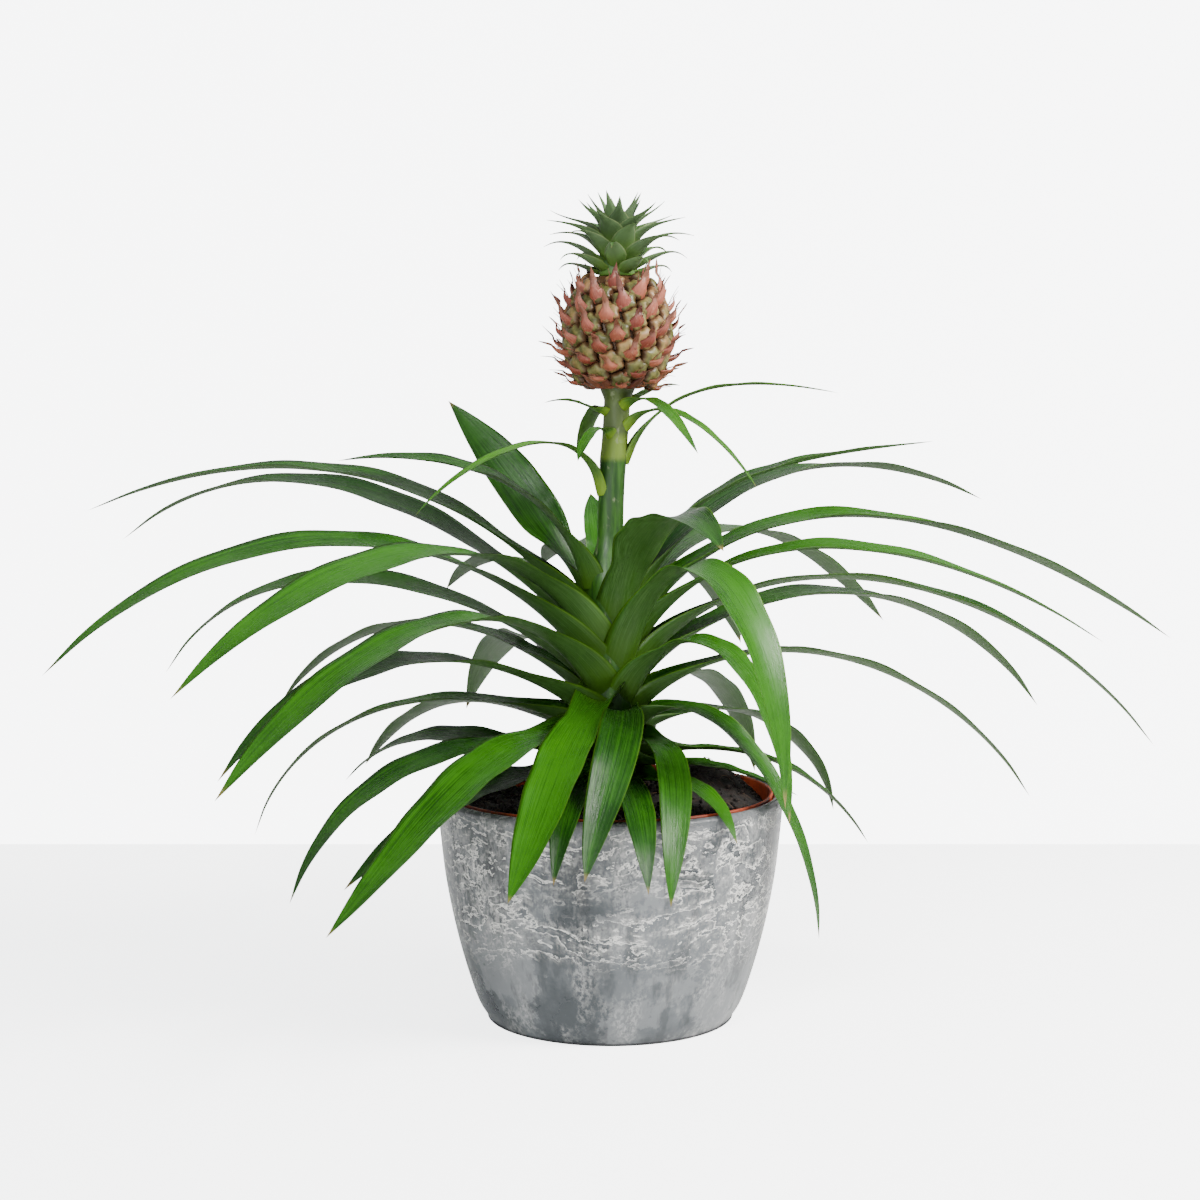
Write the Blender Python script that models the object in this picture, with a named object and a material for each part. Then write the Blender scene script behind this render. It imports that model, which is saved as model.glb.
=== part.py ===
# A miniature pineapple plant in a glazed pot. Metres, +Z up. The origin is the middle of the
# pot's flat underside, +X is to the right and -Y is the front.
import math

import bmesh
import bpy
from mathutils import Vector

MM = 0.001
GAP = 0.3 * MM
MERGE = 0.01 * MM
SHARP_ANGLE = math.radians(40)

# Glazed outer pot, as radius and height from the underside up.
POT_RIM_RADIUS = 90 * MM
POT_HEIGHT = 117.5 * MM
POT_WALL = 4.5 * MM
POT_FLOOR = 6 * MM
POT_LIP = 2.5 * MM
POT_LIP_STEPS = 5
POT_SEGMENTS = 60
POT_FLOOR_RADIUS = 60 * MM
POT_FLOOR_CORNER = 4 * MM
POT_FLOOR_DISH = 1.5 * MM
POT_SIDE = ((62.5, 0), (64.5, 1.5), (69.5, 10), (75.5, 28), (81, 49), (85.5, 72), (88, 92), (89.7, 110))

# Plastic nursery pot that stands inside it: a band round its rim, and a narrower neck below.
NURSERY_RIM_RADIUS = 84.8 * MM
NURSERY_BAND_RADIUS = 84 * MM
NURSERY_NECK_RADIUS = 81.5 * MM
NURSERY_BASE_RADIUS = 58 * MM
NURSERY_TOP = 118 * MM
NURSERY_BAND = 15 * MM
NURSERY_SHOULDER = 1 * MM
NURSERY_WALL = 1.2 * MM
NURSERY_FLOOR = 1.5 * MM
NURSERY_CORNER = 2 * MM
NURSERY_CHAMFER = 0.8 * MM
NURSERY_SEGMENTS = 48
DRAIN_RADIUS = 5 * MM
DRAIN_CIRCLE = 42 * MM
DRAIN_DRILL = 8 * MM
DRAIN_COUNT = 6
DRAIN_SEGMENTS = 16

# Peat: its usual level, its ripples, and the mound at the back right.
SOIL_LEVEL = 108.5 * MM
SOIL_CORNER = 5 * MM
SOIL_BEVEL = 3 * MM
SOIL_RINGS = 7
SOIL_SEGMENTS = 40
RIPPLE_HEIGHT = 0.9 * MM
RIPPLE_X = 7 * MM
RIPPLE_Y = 9 * MM
MOUND_HEIGHT = 19 * MM
MOUND_HEADING = math.radians(36)
MOUND_RADIUS = 60 * MM
MOUND_SPREAD = 24 * MM

# Stem: a stout foot under the rosette that narrows to the fruit's stalk.
STEM_ROOT = 68 * MM
STEM_FOOT_RADIUS = 9 * MM
STEM_FOOT_HEIGHT = 8 * MM
STEM_STEPS = 16
STEM_SEGMENTS = 24
STEM_RADIUS = 13 * MM
STALK_RADIUS = 6.8 * MM
ROSETTE_TOP = 226 * MM
STALK_START = 252 * MM
STEM_TOP = 327 * MM
LEAN = 3.5 * MM

# Fruit and its crown.
FRUIT_HEIGHT = 56 * MM
FRUIT_RADIUS = 26.5 * MM
FRUIT_BASE_ARC = 0.14
FRUIT_TOP_ARC = 0.90
FRUIT_FULLNESS = 0.55
FRUIT_ROWS = 12
FRUIT_COLUMNS = 20
EYE_RELIEF = 2.4 * MM
CROWN_CORE_RADIUS = 9 * MM
CROWN_CORE_HEIGHT = 26 * MM
CROWN_CORE_TAPER = 0.65
CROWN_CORE_SEGMENTS = 16
CROWN_ROOT_DEPTH = 1.6 * MM

# Leaves: rings along a blade, root width at the stem, thickness at the root, how much of it goes
# by the tip, and how deep the channel is. Shares of the length: where a blade is widest and where
# it starts to taper.
BLADE_RINGS = 12
ROOT_WIDTH = 12.5 * MM
BLADE_THICKNESS = 1.5 * MM
TIP_THINNING = 0.4
CHANNEL = 0.15
WIDEST_AT = 0.4
TAPER_FROM = 0.5
TAPER_POWER = 2.2
TANGENT_STEP = 0.01

# Each leaf: heading, height of its root, rise angle there, reach from the stem's axis, height of
# the tip, fall angle there, greatest width, sideways sweep, and how full its arch is.
# Degrees and millimetres, lowest root first.
LEAVES = (
    (312, 125, 12, 100, 105, -60, 14, -4, 0.4),
    (278, 129, 8, 125, 90, -70, 17, 0, 0.4),
    (222, 129, 12, 170, 90, -35, 25, 0, 0.4),
    (106, 130, 8, 140, 100, -60, 23, 0, 0.4),
    (343, 133, 8, 100, 120, -25, 14, 0, 0.4),
    (163, 135, 8, 150, 115, -50, 22, 0, 0.4),
    (10, 136, 12, 140, 85, -60, 21, 0, 0.4),
    (258, 134, 5, 130, 95, -65, 17, 0, 0.4),
    (82, 139, 12, 160, 105, -60, 25, 0, 0.4),
    (206, 142, 14, 175, 75, -70, 22, 0, 0.4),
    (311, 143, 30, 110, 80, -85, 17, -26, 0.4),
    (138, 144, 18, 190, 110, -50, 27, 0, 0.4),
    (28, 145, 35, 140, 95, -80, 21, 0, 0.4),
    (236, 149, 15, 225, 85, -30, 27, 0, 0.4),
    (174, 150, 28, 190, 90, -75, 21, 0, 0.4),
    (336, 150, 50, 115, 50, -90, 20, 0, 0.45),
    (284, 154, 45, 120, 95, -70, 22, -20, 0.4),
    (62, 154, 32, 185, 100, -70, 23, 0, 0.4),
    (112, 157, 34, 235, 130, -50, 29, 0, 0.4),
    (216, 158, 38, 225, 145, -50, 27, 0, 0.4),
    (6, 160, 45, 225, 110, -60, 27, 0, 0.4),
    (254, 167, 0, 170, 95, -30, 26, 0, 0.4),
    (150, 166, 40, 215, 150, -50, 27, 0, 0.4),
    (328, 168, 65, 105, 110, -90, 29, 0, 0.7),
    (88, 170, 42, 250, 160, -50, 29, 0, 0.4),
    (231, 172, 50, 270, 150, -40, 32, 0, 0.4),
    (20, 173, 48, 255, 150, -55, 27, 0, 0.4),
    (172, 177, 42, 240, 175, -60, 25, 0, 0.4),
    (1, 179, 56, 285, 140, -55, 29, 0, 0.4),
    (122, 182, 55, 180, 210, -35, 27, 0, 0.4),
    (312, 185, 72, 125, 125, -90, 31, 0, 0.85),
    (208, 186, 52, 295, 195, -45, 28, 0, 0.4),
    (70, 189, 48, 240, 170, -45, 28, 0, 0.4),
    (350, 193, 60, 250, 200, -35, 26, 0, 0.4),
    (223, 195, 57, 265, 190, -40, 30, 0, 0.4),
    (168, 197, 47, 270, 245, -40, 27, 0, 0.4),
    (52, 200, 58, 275, 185, -35, 27, 0, 0.4),
    (12, 202, 57, 315, 190, -35, 29, 0, 0.4),
    (105, 205, 66, 150, 225, -25, 25, 0, 0.4),
    (186, 207, 54, 265, 265, -25, 27, 0, 0.4),
    (296, 209, 76, 120, 250, -35, 34, 0, 0.5),
    (25, 215, 62, 230, 265, -25, 25, 0, 0.4),
    (150, 218, 60, 100, 320, 40, 25, 0, 0.4),
    (100, 222, 72, 60, 270, 30, 17, 0, 0.4),
    (350, 224, 68, 165, 300, 5, 24, 0, 0.4),
    (190, 226, 78, 140, 290, -10, 22, 0, 0.4),
)
BRACT_ROOT_WIDTH = 7 * MM
BRACTS = (
    (206, 274, 80, 109, 263, -48, 11, 0, 0.45),
    (8, 290, 72, 119, 324, -12, 13, 0, 0.4),
    (238, 303, 50, 36, 290, -70, 9, 0, 0.4),
    (336, 307, 54, 77, 277, -56, 11, 0, 0.4),
    (110, 311, 50, 60, 288, -60, 10, 0, 0.4),
    (202, 314, 25, 40, 319, -20, 8, 0, 0.4),
    (310, 317, 35, 62, 294, -48, 9, 0, 0.4),
    (40, 320, 20, 44, 328, -10, 8, 0, 0.4),
)

# Each crown tier: how many leaves, height of their roots above the crown's foot, rise angle, reach,
# height of the tips, fall angle and width.
CROWN_ROOT_WIDTH = 4.2 * MM
CROWN_BLADE_RINGS = 6
CROWN_ARCH = 0.4
CROWN_TWIST = 0.4
CROWN_TIERS = (
    (8, 3, 10, 35, 4, -25, 10),
    (8, 9, 42, 40, 23, 10, 11),
    (7, 15, 58, 37, 38, 30, 11),
    (5, 21, 80, 13, 43, 70, 9),
)


def material(name, color, roughness, metallic=0.0):
    mat = bpy.data.materials.new(name)
    mat.use_nodes = True
    shader = mat.node_tree.nodes["Principled BSDF"]
    shader.inputs["Base Color"].default_value = (*color, 1.0)
    shader.inputs["Roughness"].default_value = roughness
    shader.inputs["Metallic"].default_value = metallic
    return mat


def new_object(name, bm, mat):
    bmesh.ops.recalc_face_normals(bm, faces=bm.faces)
    mesh = bpy.data.meshes.new(name)
    bm.to_mesh(mesh)
    bm.free()
    mesh.materials.append(mat)
    mesh.shade_smooth()
    mesh.set_sharp_from_angle(angle=SHARP_ANGLE)
    obj = bpy.data.objects.new(name, mesh)
    bpy.context.collection.objects.link(obj)
    return obj


def turn(profile, segments):
    # Turns (radius, height) points about Z. A profile starts and ends on the axis, or is closed.
    bm = bmesh.new()
    points = [bm.verts.new((radius, 0, height)) for radius, height in profile]
    edges = [bm.edges.new(pair) for pair in zip(points, points[1:])]
    if profile[0][0] > 0:
        edges.append(bm.edges.new((points[-1], points[0])))
    bmesh.ops.spin(bm, geom=points + edges, axis=(0, 0, 1), cent=(0, 0, 0),
                   angle=2 * math.pi, steps=segments, use_merge=True)
    bmesh.ops.remove_doubles(bm, verts=bm.verts, dist=MERGE)
    return bm


def blend(a, b, t):
    t = min(max(t, 0.0), 1.0)
    return a + (b - a) * t * t * (3 - 2 * t)


def lean(height):
    # The stalk drifts towards +X below the fruit.
    return blend(0, LEAN, (height - STALK_START) / (STEM_TOP - STALK_START))


def stem_radius(height):
    return blend(STEM_RADIUS, STALK_RADIUS, (height - ROSETTE_TOP) / (STALK_START - ROSETTE_TOP))


def pot_profile():
    side = [(r * MM, z * MM) for r, z in POT_SIDE]
    lip_centre = (POT_RIM_RADIUS - POT_LIP, POT_HEIGHT - POT_LIP)
    lip = [(lip_centre[0] + POT_LIP * math.cos(a), lip_centre[1] + POT_LIP * math.sin(a))
           for a in (math.pi * step / POT_LIP_STEPS for step in range(POT_LIP_STEPS + 1))]
    inner = [(r - POT_WALL, z) for r, z in reversed(side[3:])]
    floor = [(POT_FLOOR_RADIUS, POT_FLOOR + POT_FLOOR_DISH),
             (POT_FLOOR_RADIUS - POT_FLOOR_CORNER, POT_FLOOR), (0, POT_FLOOR)]
    return [(0, 0)] + side + lip + inner + floor


def make_outer_pot(mat):
    return new_object("outer_pot", turn(pot_profile(), POT_SEGMENTS), mat)


def nursery_base():
    return POT_FLOOR + GAP


def nursery_profile():
    base = nursery_base()
    floor = base + NURSERY_FLOOR
    ledge = NURSERY_TOP - NURSERY_BAND
    hollow = NURSERY_BASE_RADIUS - NURSERY_WALL
    outer = [(0, base), (NURSERY_BASE_RADIUS - NURSERY_CORNER, base),
             (NURSERY_BASE_RADIUS, base + NURSERY_CORNER),
             (NURSERY_NECK_RADIUS, ledge - NURSERY_SHOULDER), (NURSERY_BAND_RADIUS, ledge),
             (NURSERY_RIM_RADIUS, NURSERY_TOP - NURSERY_CHAMFER),
             (NURSERY_RIM_RADIUS - NURSERY_CHAMFER, NURSERY_TOP)]
    inner = [(NURSERY_RIM_RADIUS - 2 * NURSERY_CHAMFER, NURSERY_TOP),
             (NURSERY_BAND_RADIUS - NURSERY_WALL, ledge + NURSERY_SHOULDER),
             (NURSERY_NECK_RADIUS - NURSERY_WALL, ledge),
             (hollow, floor + NURSERY_CORNER), (hollow - NURSERY_CORNER, floor), (0, floor)]
    return outer + inner


def cutter(name, bm):
    mesh = bpy.data.meshes.new(name)
    bm.to_mesh(mesh)
    bm.free()
    obj = bpy.data.objects.new(name, mesh)
    bpy.context.collection.objects.link(obj)
    obj.hide_render = True
    obj.display_type = "WIRE"
    return obj


def boolean(obj, tool, operation, solver="EXACT"):
    modifier = obj.modifiers.new(operation.lower(), "BOOLEAN")
    modifier.operation = operation
    modifier.object = tool
    modifier.solver = solver


def make_nursery_pot(mat):
    obj = new_object("nursery_pot", turn(nursery_profile(), NURSERY_SEGMENTS), mat)
    drains = bmesh.new()
    for index in range(DRAIN_COUNT):
        angle = 2 * math.pi * index / DRAIN_COUNT
        drill = bmesh.ops.create_cone(drains, cap_ends=True, segments=DRAIN_SEGMENTS,
                                      radius1=DRAIN_RADIUS, radius2=DRAIN_RADIUS, depth=DRAIN_DRILL)
        place = Vector((DRAIN_CIRCLE * math.cos(angle), DRAIN_CIRCLE * math.sin(angle), nursery_base()))
        bmesh.ops.translate(drains, verts=drill["verts"], vec=place)
    boolean(obj, cutter("drain_drills", drains), "DIFFERENCE")
    return obj


def soil_height(x, y):
    mound = Vector((math.cos(MOUND_HEADING), math.sin(MOUND_HEADING))) * MOUND_RADIUS
    distance = (Vector((x, y)) - mound).length / MOUND_SPREAD
    hump = MOUND_HEIGHT * math.exp(-distance * distance)
    ripple = RIPPLE_HEIGHT * math.sin(x / RIPPLE_X) * math.cos(y / RIPPLE_Y)
    return SOIL_LEVEL + hump + ripple


def make_soil(mat):
    # Fills the nursery pot a gap inside its walls, with a well for the stem's foot.
    inset = NURSERY_WALL + GAP
    foot = NURSERY_BASE_RADIUS - inset
    side = NURSERY_NECK_RADIUS - inset
    brim = NURSERY_BAND_RADIUS - inset
    socket = STEM_RADIUS + GAP
    floor = nursery_base() + NURSERY_FLOOR + GAP
    ledge = NURSERY_TOP - NURSERY_BAND
    lower = [(0, floor), (foot - SOIL_CORNER, floor), (foot, floor + SOIL_CORNER), (side, ledge),
             (brim, ledge + SOIL_BEVEL)]
    surface = [(brim + (socket - brim) * step / SOIL_RINGS, SOIL_LEVEL) for step in range(SOIL_RINGS + 1)]
    well = [(socket, STEM_ROOT - GAP), (0, STEM_ROOT - GAP)]
    bm = turn(lower + surface + well, SOIL_SEGMENTS)
    for vert in bm.verts:
        if vert.co.z > SOIL_LEVEL - GAP:
            vert.co.z = soil_height(vert.co.x, vert.co.y)
    return new_object("soil", bm, mat)


def make_stem(mat):
    rise = (STEM_TOP - ROSETTE_TOP) / STEM_STEPS
    heights = [STEM_ROOT + STEM_FOOT_HEIGHT] + [ROSETTE_TOP + rise * step for step in range(STEM_STEPS + 1)]
    profile = [(0, STEM_ROOT), (STEM_FOOT_RADIUS, STEM_ROOT)]
    profile += [(stem_radius(z), z) for z in heights] + [(0, STEM_TOP)]
    bm = turn(profile, STEM_SEGMENTS)
    for vert in bm.verts:
        vert.co.x += lean(vert.co.z)
    return new_object("stem", bm, mat)


def bezier(start, rise, end, fall, arch, t):
    # Point of a cubic curve in the leaf's own (distance, height) plane.
    handle = (end - start).length * arch
    leave = start + handle * Vector((math.cos(rise), math.sin(rise)))
    arrive = end - handle * Vector((math.cos(fall), math.sin(fall)))
    s = 1 - t
    return s ** 3 * start + 3 * s * s * t * leave + 3 * s * t * t * arrive + t ** 3 * end


def blade_width(t, width, root_width):
    taper = 1 - max((t - TAPER_FROM) / (1 - TAPER_FROM), 0.0) ** TAPER_POWER
    return blend(root_width, width, t / WIDEST_AT) * taper


def root_distance(stem, rise, root_width):
    # How far out a root starts so that its inner side lies a gap off the stem.
    clear = stem + GAP
    dip = CHANNEL * root_width / 2
    middle = clear + (BLADE_THICKNESS / 2 - dip) * math.sin(rise)
    margin = math.sqrt(clear ** 2 - (root_width / 2) ** 2) + dip * math.sin(rise)
    return max(middle, margin)


def add_blade(bm, centre, start, end, shape, root_width, rings):
    # A channelled blade: four points per ring, a flat root and one point at the tip.
    heading, rise, fall, width, sweep, arch = shape

    def place(t):
        flat = bezier(start, rise, end, fall, arch, t)
        angle = heading + sweep * (flat.x - start.x) / (end.x - start.x)
        return centre + Vector((flat.x * math.cos(angle), flat.x * math.sin(angle), flat.y)), angle

    previous = None
    for ring in range(rings):
        t = ring / rings
        point, angle = place(t)
        along = (place(t + TANGENT_STEP)[0] - point).normalized()
        across = Vector((-math.sin(angle), math.cos(angle), 0))
        across = (across - along * along.dot(across)).normalized()
        up = along.cross(across)
        half = blade_width(t, width, root_width) / 2
        dip = CHANNEL * half
        thick = BLADE_THICKNESS * (1 - TIP_THINNING * t) / 2
        offsets = ((half, dip), (0, thick - dip), (-half, dip), (0, -thick - dip))
        verts = [bm.verts.new(point + across * side + up * lift) for side, lift in offsets]
        if previous:
            for i in range(4):
                bm.faces.new((previous[i], previous[i - 1], verts[i - 1], verts[i]))
        else:
            bm.faces.new((verts[0], verts[1], verts[3]))
            bm.faces.new((verts[1], verts[2], verts[3]))
        previous = verts
    tip = bm.verts.new(place(1.0)[0])
    for i in range(4):
        bm.faces.new((previous[i], previous[i - 1], tip))


def make_blade(name, row, root_width, mat):
    heading, root, rise, reach, tip, fall, width, sweep, arch = row
    heading, rise, fall, sweep = (math.radians(angle) for angle in (heading, rise, fall, sweep))
    centre = Vector((lean(root * MM), 0, 0))
    start = Vector((root_distance(stem_radius(root * MM), rise, root_width), root * MM))
    end = Vector((reach * MM, tip * MM))
    bm = bmesh.new()
    add_blade(bm, centre, start, end, (heading, rise, fall, width * MM, sweep, arch), root_width, BLADE_RINGS)
    return new_object(name, bm, mat)


def fruit_base():
    return STEM_TOP + GAP


def fruit_radius(share):
    # Barrel outline from base (0) to top (1), fullest a little below the middle.
    arc = FRUIT_BASE_ARC + (FRUIT_TOP_ARC - FRUIT_BASE_ARC) * share
    return FRUIT_RADIUS * math.sin(math.pi * arc) ** FRUIT_FULLNESS


def make_fruit(mat):
    profile = [(0, fruit_base())]
    for row in range(FRUIT_ROWS + 1):
        share = row / FRUIT_ROWS
        profile.append((fruit_radius(share) - EYE_RELIEF / 2, fruit_base() + FRUIT_HEIGHT * share))
    profile.append((0, fruit_base() + FRUIT_HEIGHT))
    bm = turn(profile, FRUIT_COLUMNS)
    for vert in bm.verts:
        ring = vert.co.xy.length
        row = round((vert.co.z - fruit_base()) / FRUIT_HEIGHT * FRUIT_ROWS)
        column = round(math.atan2(vert.co.y, vert.co.x) / (2 * math.pi) * FRUIT_COLUMNS)
        if ring > GAP and 0 < row < FRUIT_ROWS and (row + column) % 2 == 0:
            vert.co.xy *= (ring + EYE_RELIEF) / ring
        vert.co.x += LEAN
    return new_object("fruit", bm, mat)


def add_crown_tier(bm, base, tier):
    count, level, rise, reach, tip, fall, width = CROWN_TIERS[tier]
    narrowing = 1 - (1 - CROWN_CORE_TAPER) * level * MM / CROWN_CORE_HEIGHT
    start = Vector((CROWN_CORE_RADIUS * narrowing - CROWN_ROOT_DEPTH, base + level * MM))
    end = Vector((reach * MM, base + tip * MM))
    for index in range(count):
        heading = 2 * math.pi * (index + CROWN_TWIST * tier) / count
        shape = (heading, math.radians(rise), math.radians(fall), width * MM, 0, CROWN_ARCH)
        add_blade(bm, Vector((LEAN, 0, 0)), start, end, shape, CROWN_ROOT_WIDTH, CROWN_BLADE_RINGS)
    bmesh.ops.recalc_face_normals(bm, faces=bm.faces)


def make_crown(mat):
    base = fruit_base() + FRUIT_HEIGHT + GAP
    top = base + CROWN_CORE_HEIGHT
    outline = [(0, base), (CROWN_CORE_RADIUS, base), (CROWN_CORE_RADIUS * CROWN_CORE_TAPER, top), (0, top)]
    core = turn(outline, CROWN_CORE_SEGMENTS)
    bmesh.ops.translate(core, verts=core.verts, vec=(LEAN, 0, 0))
    crown = new_object("crown", core, mat)
    for tier in range(len(CROWN_TIERS)):
        leaves = bmesh.new()
        add_crown_tier(leaves, base, tier)
        boolean(crown, cutter(f"crown_tier_{tier + 1}", leaves), "UNION", "MANIFOLD")
    return crown


def clear_scene():
    for obj in list(bpy.data.objects):
        bpy.data.objects.remove(obj)


def build():
    clear_scene()
    make_outer_pot(material("stoneware_glaze", (0.30, 0.32, 0.33), 0.35))
    make_nursery_pot(material("terracotta_plastic", (0.52, 0.09, 0.03), 0.5))
    make_soil(material("peat", (0.02, 0.014, 0.009), 0.95))
    make_stem(material("stem_skin", (0.07, 0.16, 0.04), 0.55))
    make_fruit(material("fruit_skin", (0.52, 0.20, 0.13), 0.5))
    make_crown(material("crown_leaf", (0.10, 0.19, 0.10), 0.6))
    leaf_skin = material("leaf_skin", (0.06, 0.22, 0.02), 0.4)
    for number, row in enumerate(LEAVES, 1):
        make_blade(f"leaf_{number:02d}", row, ROOT_WIDTH, leaf_skin)
    bract_skin = material("bract_skin", (0.12, 0.26, 0.03), 0.45)
    for number, row in enumerate(BRACTS, 1):
        make_blade(f"bract_{number:02d}", row, BRACT_ROOT_WIDTH, bract_skin)


build()
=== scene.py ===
import math
import random

import bmesh
import bpy
from mathutils import Matrix, Vector, noise


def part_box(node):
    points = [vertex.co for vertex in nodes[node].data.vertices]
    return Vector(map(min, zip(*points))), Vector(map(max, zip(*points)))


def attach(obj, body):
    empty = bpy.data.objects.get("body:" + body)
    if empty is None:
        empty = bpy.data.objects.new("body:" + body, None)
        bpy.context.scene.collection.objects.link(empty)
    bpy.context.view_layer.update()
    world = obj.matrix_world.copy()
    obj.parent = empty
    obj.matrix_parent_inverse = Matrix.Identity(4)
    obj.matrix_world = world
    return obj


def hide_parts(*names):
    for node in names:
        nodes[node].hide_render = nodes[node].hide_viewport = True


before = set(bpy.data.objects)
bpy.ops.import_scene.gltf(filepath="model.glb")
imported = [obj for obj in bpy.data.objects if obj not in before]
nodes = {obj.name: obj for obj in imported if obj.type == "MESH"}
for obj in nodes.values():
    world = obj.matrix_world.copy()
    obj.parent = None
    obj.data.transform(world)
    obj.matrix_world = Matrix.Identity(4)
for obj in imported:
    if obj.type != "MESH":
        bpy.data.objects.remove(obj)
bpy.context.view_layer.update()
mm = 0.001
rng = random.Random(17)


# Shader building: Wire is an output socket that takes part in sums, Skin is a material in the making.
class Wire:
    def __init__(self, skin, socket):
        self.skin = skin
        self.socket = socket

    def math(self, operation, other=0.0):
        return self.skin.add("ShaderNodeMath", {0: self, 1: other}, operation=operation)

    def __add__(self, other):
        return self.math("ADD", other)

    def __sub__(self, other):
        return self.math("SUBTRACT", other)

    def __mul__(self, other):
        return self.math("MULTIPLY", other)

    def step(self, low, high, start=0.0, end=1.0):
        inputs = {"Value": self, "From Min": low, "From Max": high, "To Min": start, "To Max": end}
        return self.skin.add("ShaderNodeMapRange", inputs, interpolation_type="SMOOTHSTEP")

    def stretch(self, x, y, z):
        return self.skin.add("ShaderNodeVectorMath", {0: self, 1: (x, y, z)}, operation="MULTIPLY")


class Skin:
    def __init__(self, name, **constants):
        self.material = bpy.data.materials.new(name)
        self.material.use_nodes = True
        self.tree = self.material.node_tree
        self.shader = self.tree.nodes["Principled BSDF"]
        for key, value in constants.items():
            self.shader.inputs[key.replace("_", " ")].default_value = value

    def add(self, kind, inputs=None, output=0, **settings):
        node = self.tree.nodes.new(kind)
        for key, value in settings.items():
            setattr(node, key, value)
        for key, value in (inputs or {}).items():
            self.feed(node.inputs[key], value)
        return Wire(self, node.outputs[output])

    def feed(self, socket, value):
        if isinstance(value, Wire):
            self.tree.links.new(value.socket, socket)
        else:
            socket.default_value = value

    def place(self):
        return self.add("ShaderNodeTexCoord", output="Object")

    def uv(self):
        return self.add("ShaderNodeTexCoord", output="UV")

    def split(self, wire, axis):
        return self.add("ShaderNodeSeparateXYZ", {0: wire}, output=axis)

    def value(self, name):
        return self.add("ShaderNodeAttribute", output="Fac", attribute_name=name)

    def cloud(self, where, scale, detail=4.0, rough=0.55):
        inputs = {"Vector": where, "Scale": scale, "Detail": detail, "Roughness": rough}
        return self.add("ShaderNodeTexNoise", inputs)

    def cells(self, where, scale, feature="F1"):
        return self.add("ShaderNodeTexVoronoi", {"Vector": where, "Scale": scale}, feature=feature)

    def mix(self, share, a, b):
        solid = [value if isinstance(value, Wire) else (*value, 1.0) for value in (a, b)]
        inputs = {0: share, 6: solid[0], 7: solid[1]}
        return self.add("ShaderNodeMix", inputs, output=2, data_type="RGBA")

    def bump(self, height, strength, distance):
        inputs = {"Height": height, "Strength": strength, "Distance": distance}
        return self.add("ShaderNodeBump", inputs)

    def finish(self, color, rough, normal=None):
        self.feed(self.shader.inputs["Base Color"], color)
        self.feed(self.shader.inputs["Roughness"], rough)
        if normal:
            self.feed(self.shader.inputs["Normal"], normal)
        return self.material


def blend(a, b, t):
    t = min(max(t, 0.0), 1.0)
    return a + (b - a) * t * t * (3 - 2 * t)


def makePiece(name, bm, materials, replaced=()):
    mesh = bpy.data.meshes.new(name)
    bm.to_mesh(mesh)
    bm.free()
    mesh.shade_smooth()
    for material in materials:
        mesh.materials.append(material)
    piece = bpy.data.objects.new(name, mesh)
    bpy.context.scene.collection.objects.link(piece)
    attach(piece, "root")
    if replaced:
        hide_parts(*replaced)
    return piece


def layers(bm):
    return bm.loops.layers.uv.verify(), bm.verts.layers.float.get("side") or bm.verts.layers.float.new("side"), \
        bm.verts.layers.float.get("tone") or bm.verts.layers.float.new("tone")


def addGrid(bm, columns, rows, position, tone=0.5, merge=0.002 * mm):
    # A grid laid by position(a, v), which returns a point, its u and its side value.
    uv, side, toneLayer = layers(bm)
    verts = bmesh.ops.create_grid(bm, x_segments=columns, y_segments=rows, size=1.0)["verts"]
    flat = {}
    for vert in verts:
        a, v = (vert.co.x + 1) / 2, (vert.co.y + 1) / 2
        point, u, sideValue = position(a, v)
        flat[vert] = (u, v)
        vert.co = point
        vert[side] = sideValue
        vert[toneLayer] = tone
    for face in {face for vert in verts for face in vert.link_faces}:
        for loop in face.loops:
            loop[uv].uv = flat[loop.vert]
    bmesh.ops.remove_doubles(bm, verts=verts, dist=merge)


def addBlade(bm, section, rows, columns, tone):
    # section(v) gives the middle, half-width vector, lift vector at the margin and half thickness.
    def position(a, v):
        upper = a <= 0.5
        s = 1 - 4 * a if upper else 4 * a - 3
        middle, across, lift, thick = section(v)
        normal = lift.normalized()
        skin = thick * (1 - 0.8 * s * s) * (1 if upper else -1)
        return middle + across * s + lift * s * s + normal * skin, (s + 1) / 2, 1.0 if upper else 0.0
    addGrid(bm, columns, rows, position, tone)


# Leaves and bracts, lofted along the CAD blades.
def ringsOf(node):
    # The blade's rings from root to tip, each as (middle, left margin, right margin).
    bm = bmesh.new()
    bm.from_mesh(node.data)
    bmesh.ops.remove_doubles(bm, verts=bm.verts, dist=0.02 * mm)
    for tip in bm.verts:
        levels = [[tip]]
        seen = {tip}
        while levels[-1]:
            ring = []
            for vert in levels[-1]:
                for edge in vert.link_edges:
                    other = edge.other_vert(vert)
                    if other not in seen:
                        seen.add(other)
                        ring.append(other)
            levels.append(ring)
        levels.pop()
        if len(levels) > 8 and all(len(ring) == 4 for ring in levels[1:]):
            break
    else:
        raise ValueError(f"no rings in {node.name}")
    tipPoint = levels[0][0].co.copy()
    rings = [(tipPoint, tipPoint, tipPoint)]
    lastLeft = None
    for level in levels[1:]:
        points = [vert.co.copy() for vert in level]
        pairs = [(a, b) for i, a in enumerate(points) for b in points[i + 1:]]
        left, right = max(pairs, key=lambda pair: (pair[0] - pair[1]).length)
        middle = sum((p for p in points if p is not left and p is not right), Vector()) / 2
        if lastLeft and (left - lastLeft).length > (right - lastLeft).length:
            left, right = right, left
        lastLeft = left
        rings.append((middle, left, right))
    bm.free()
    rings.reverse()
    heading = (rings[-1][0] - rings[0][0]).cross(rings[0][2] - rings[0][1])
    return rings if heading.z > 0 else [(m, r, l) for m, l, r in rings]


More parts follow.
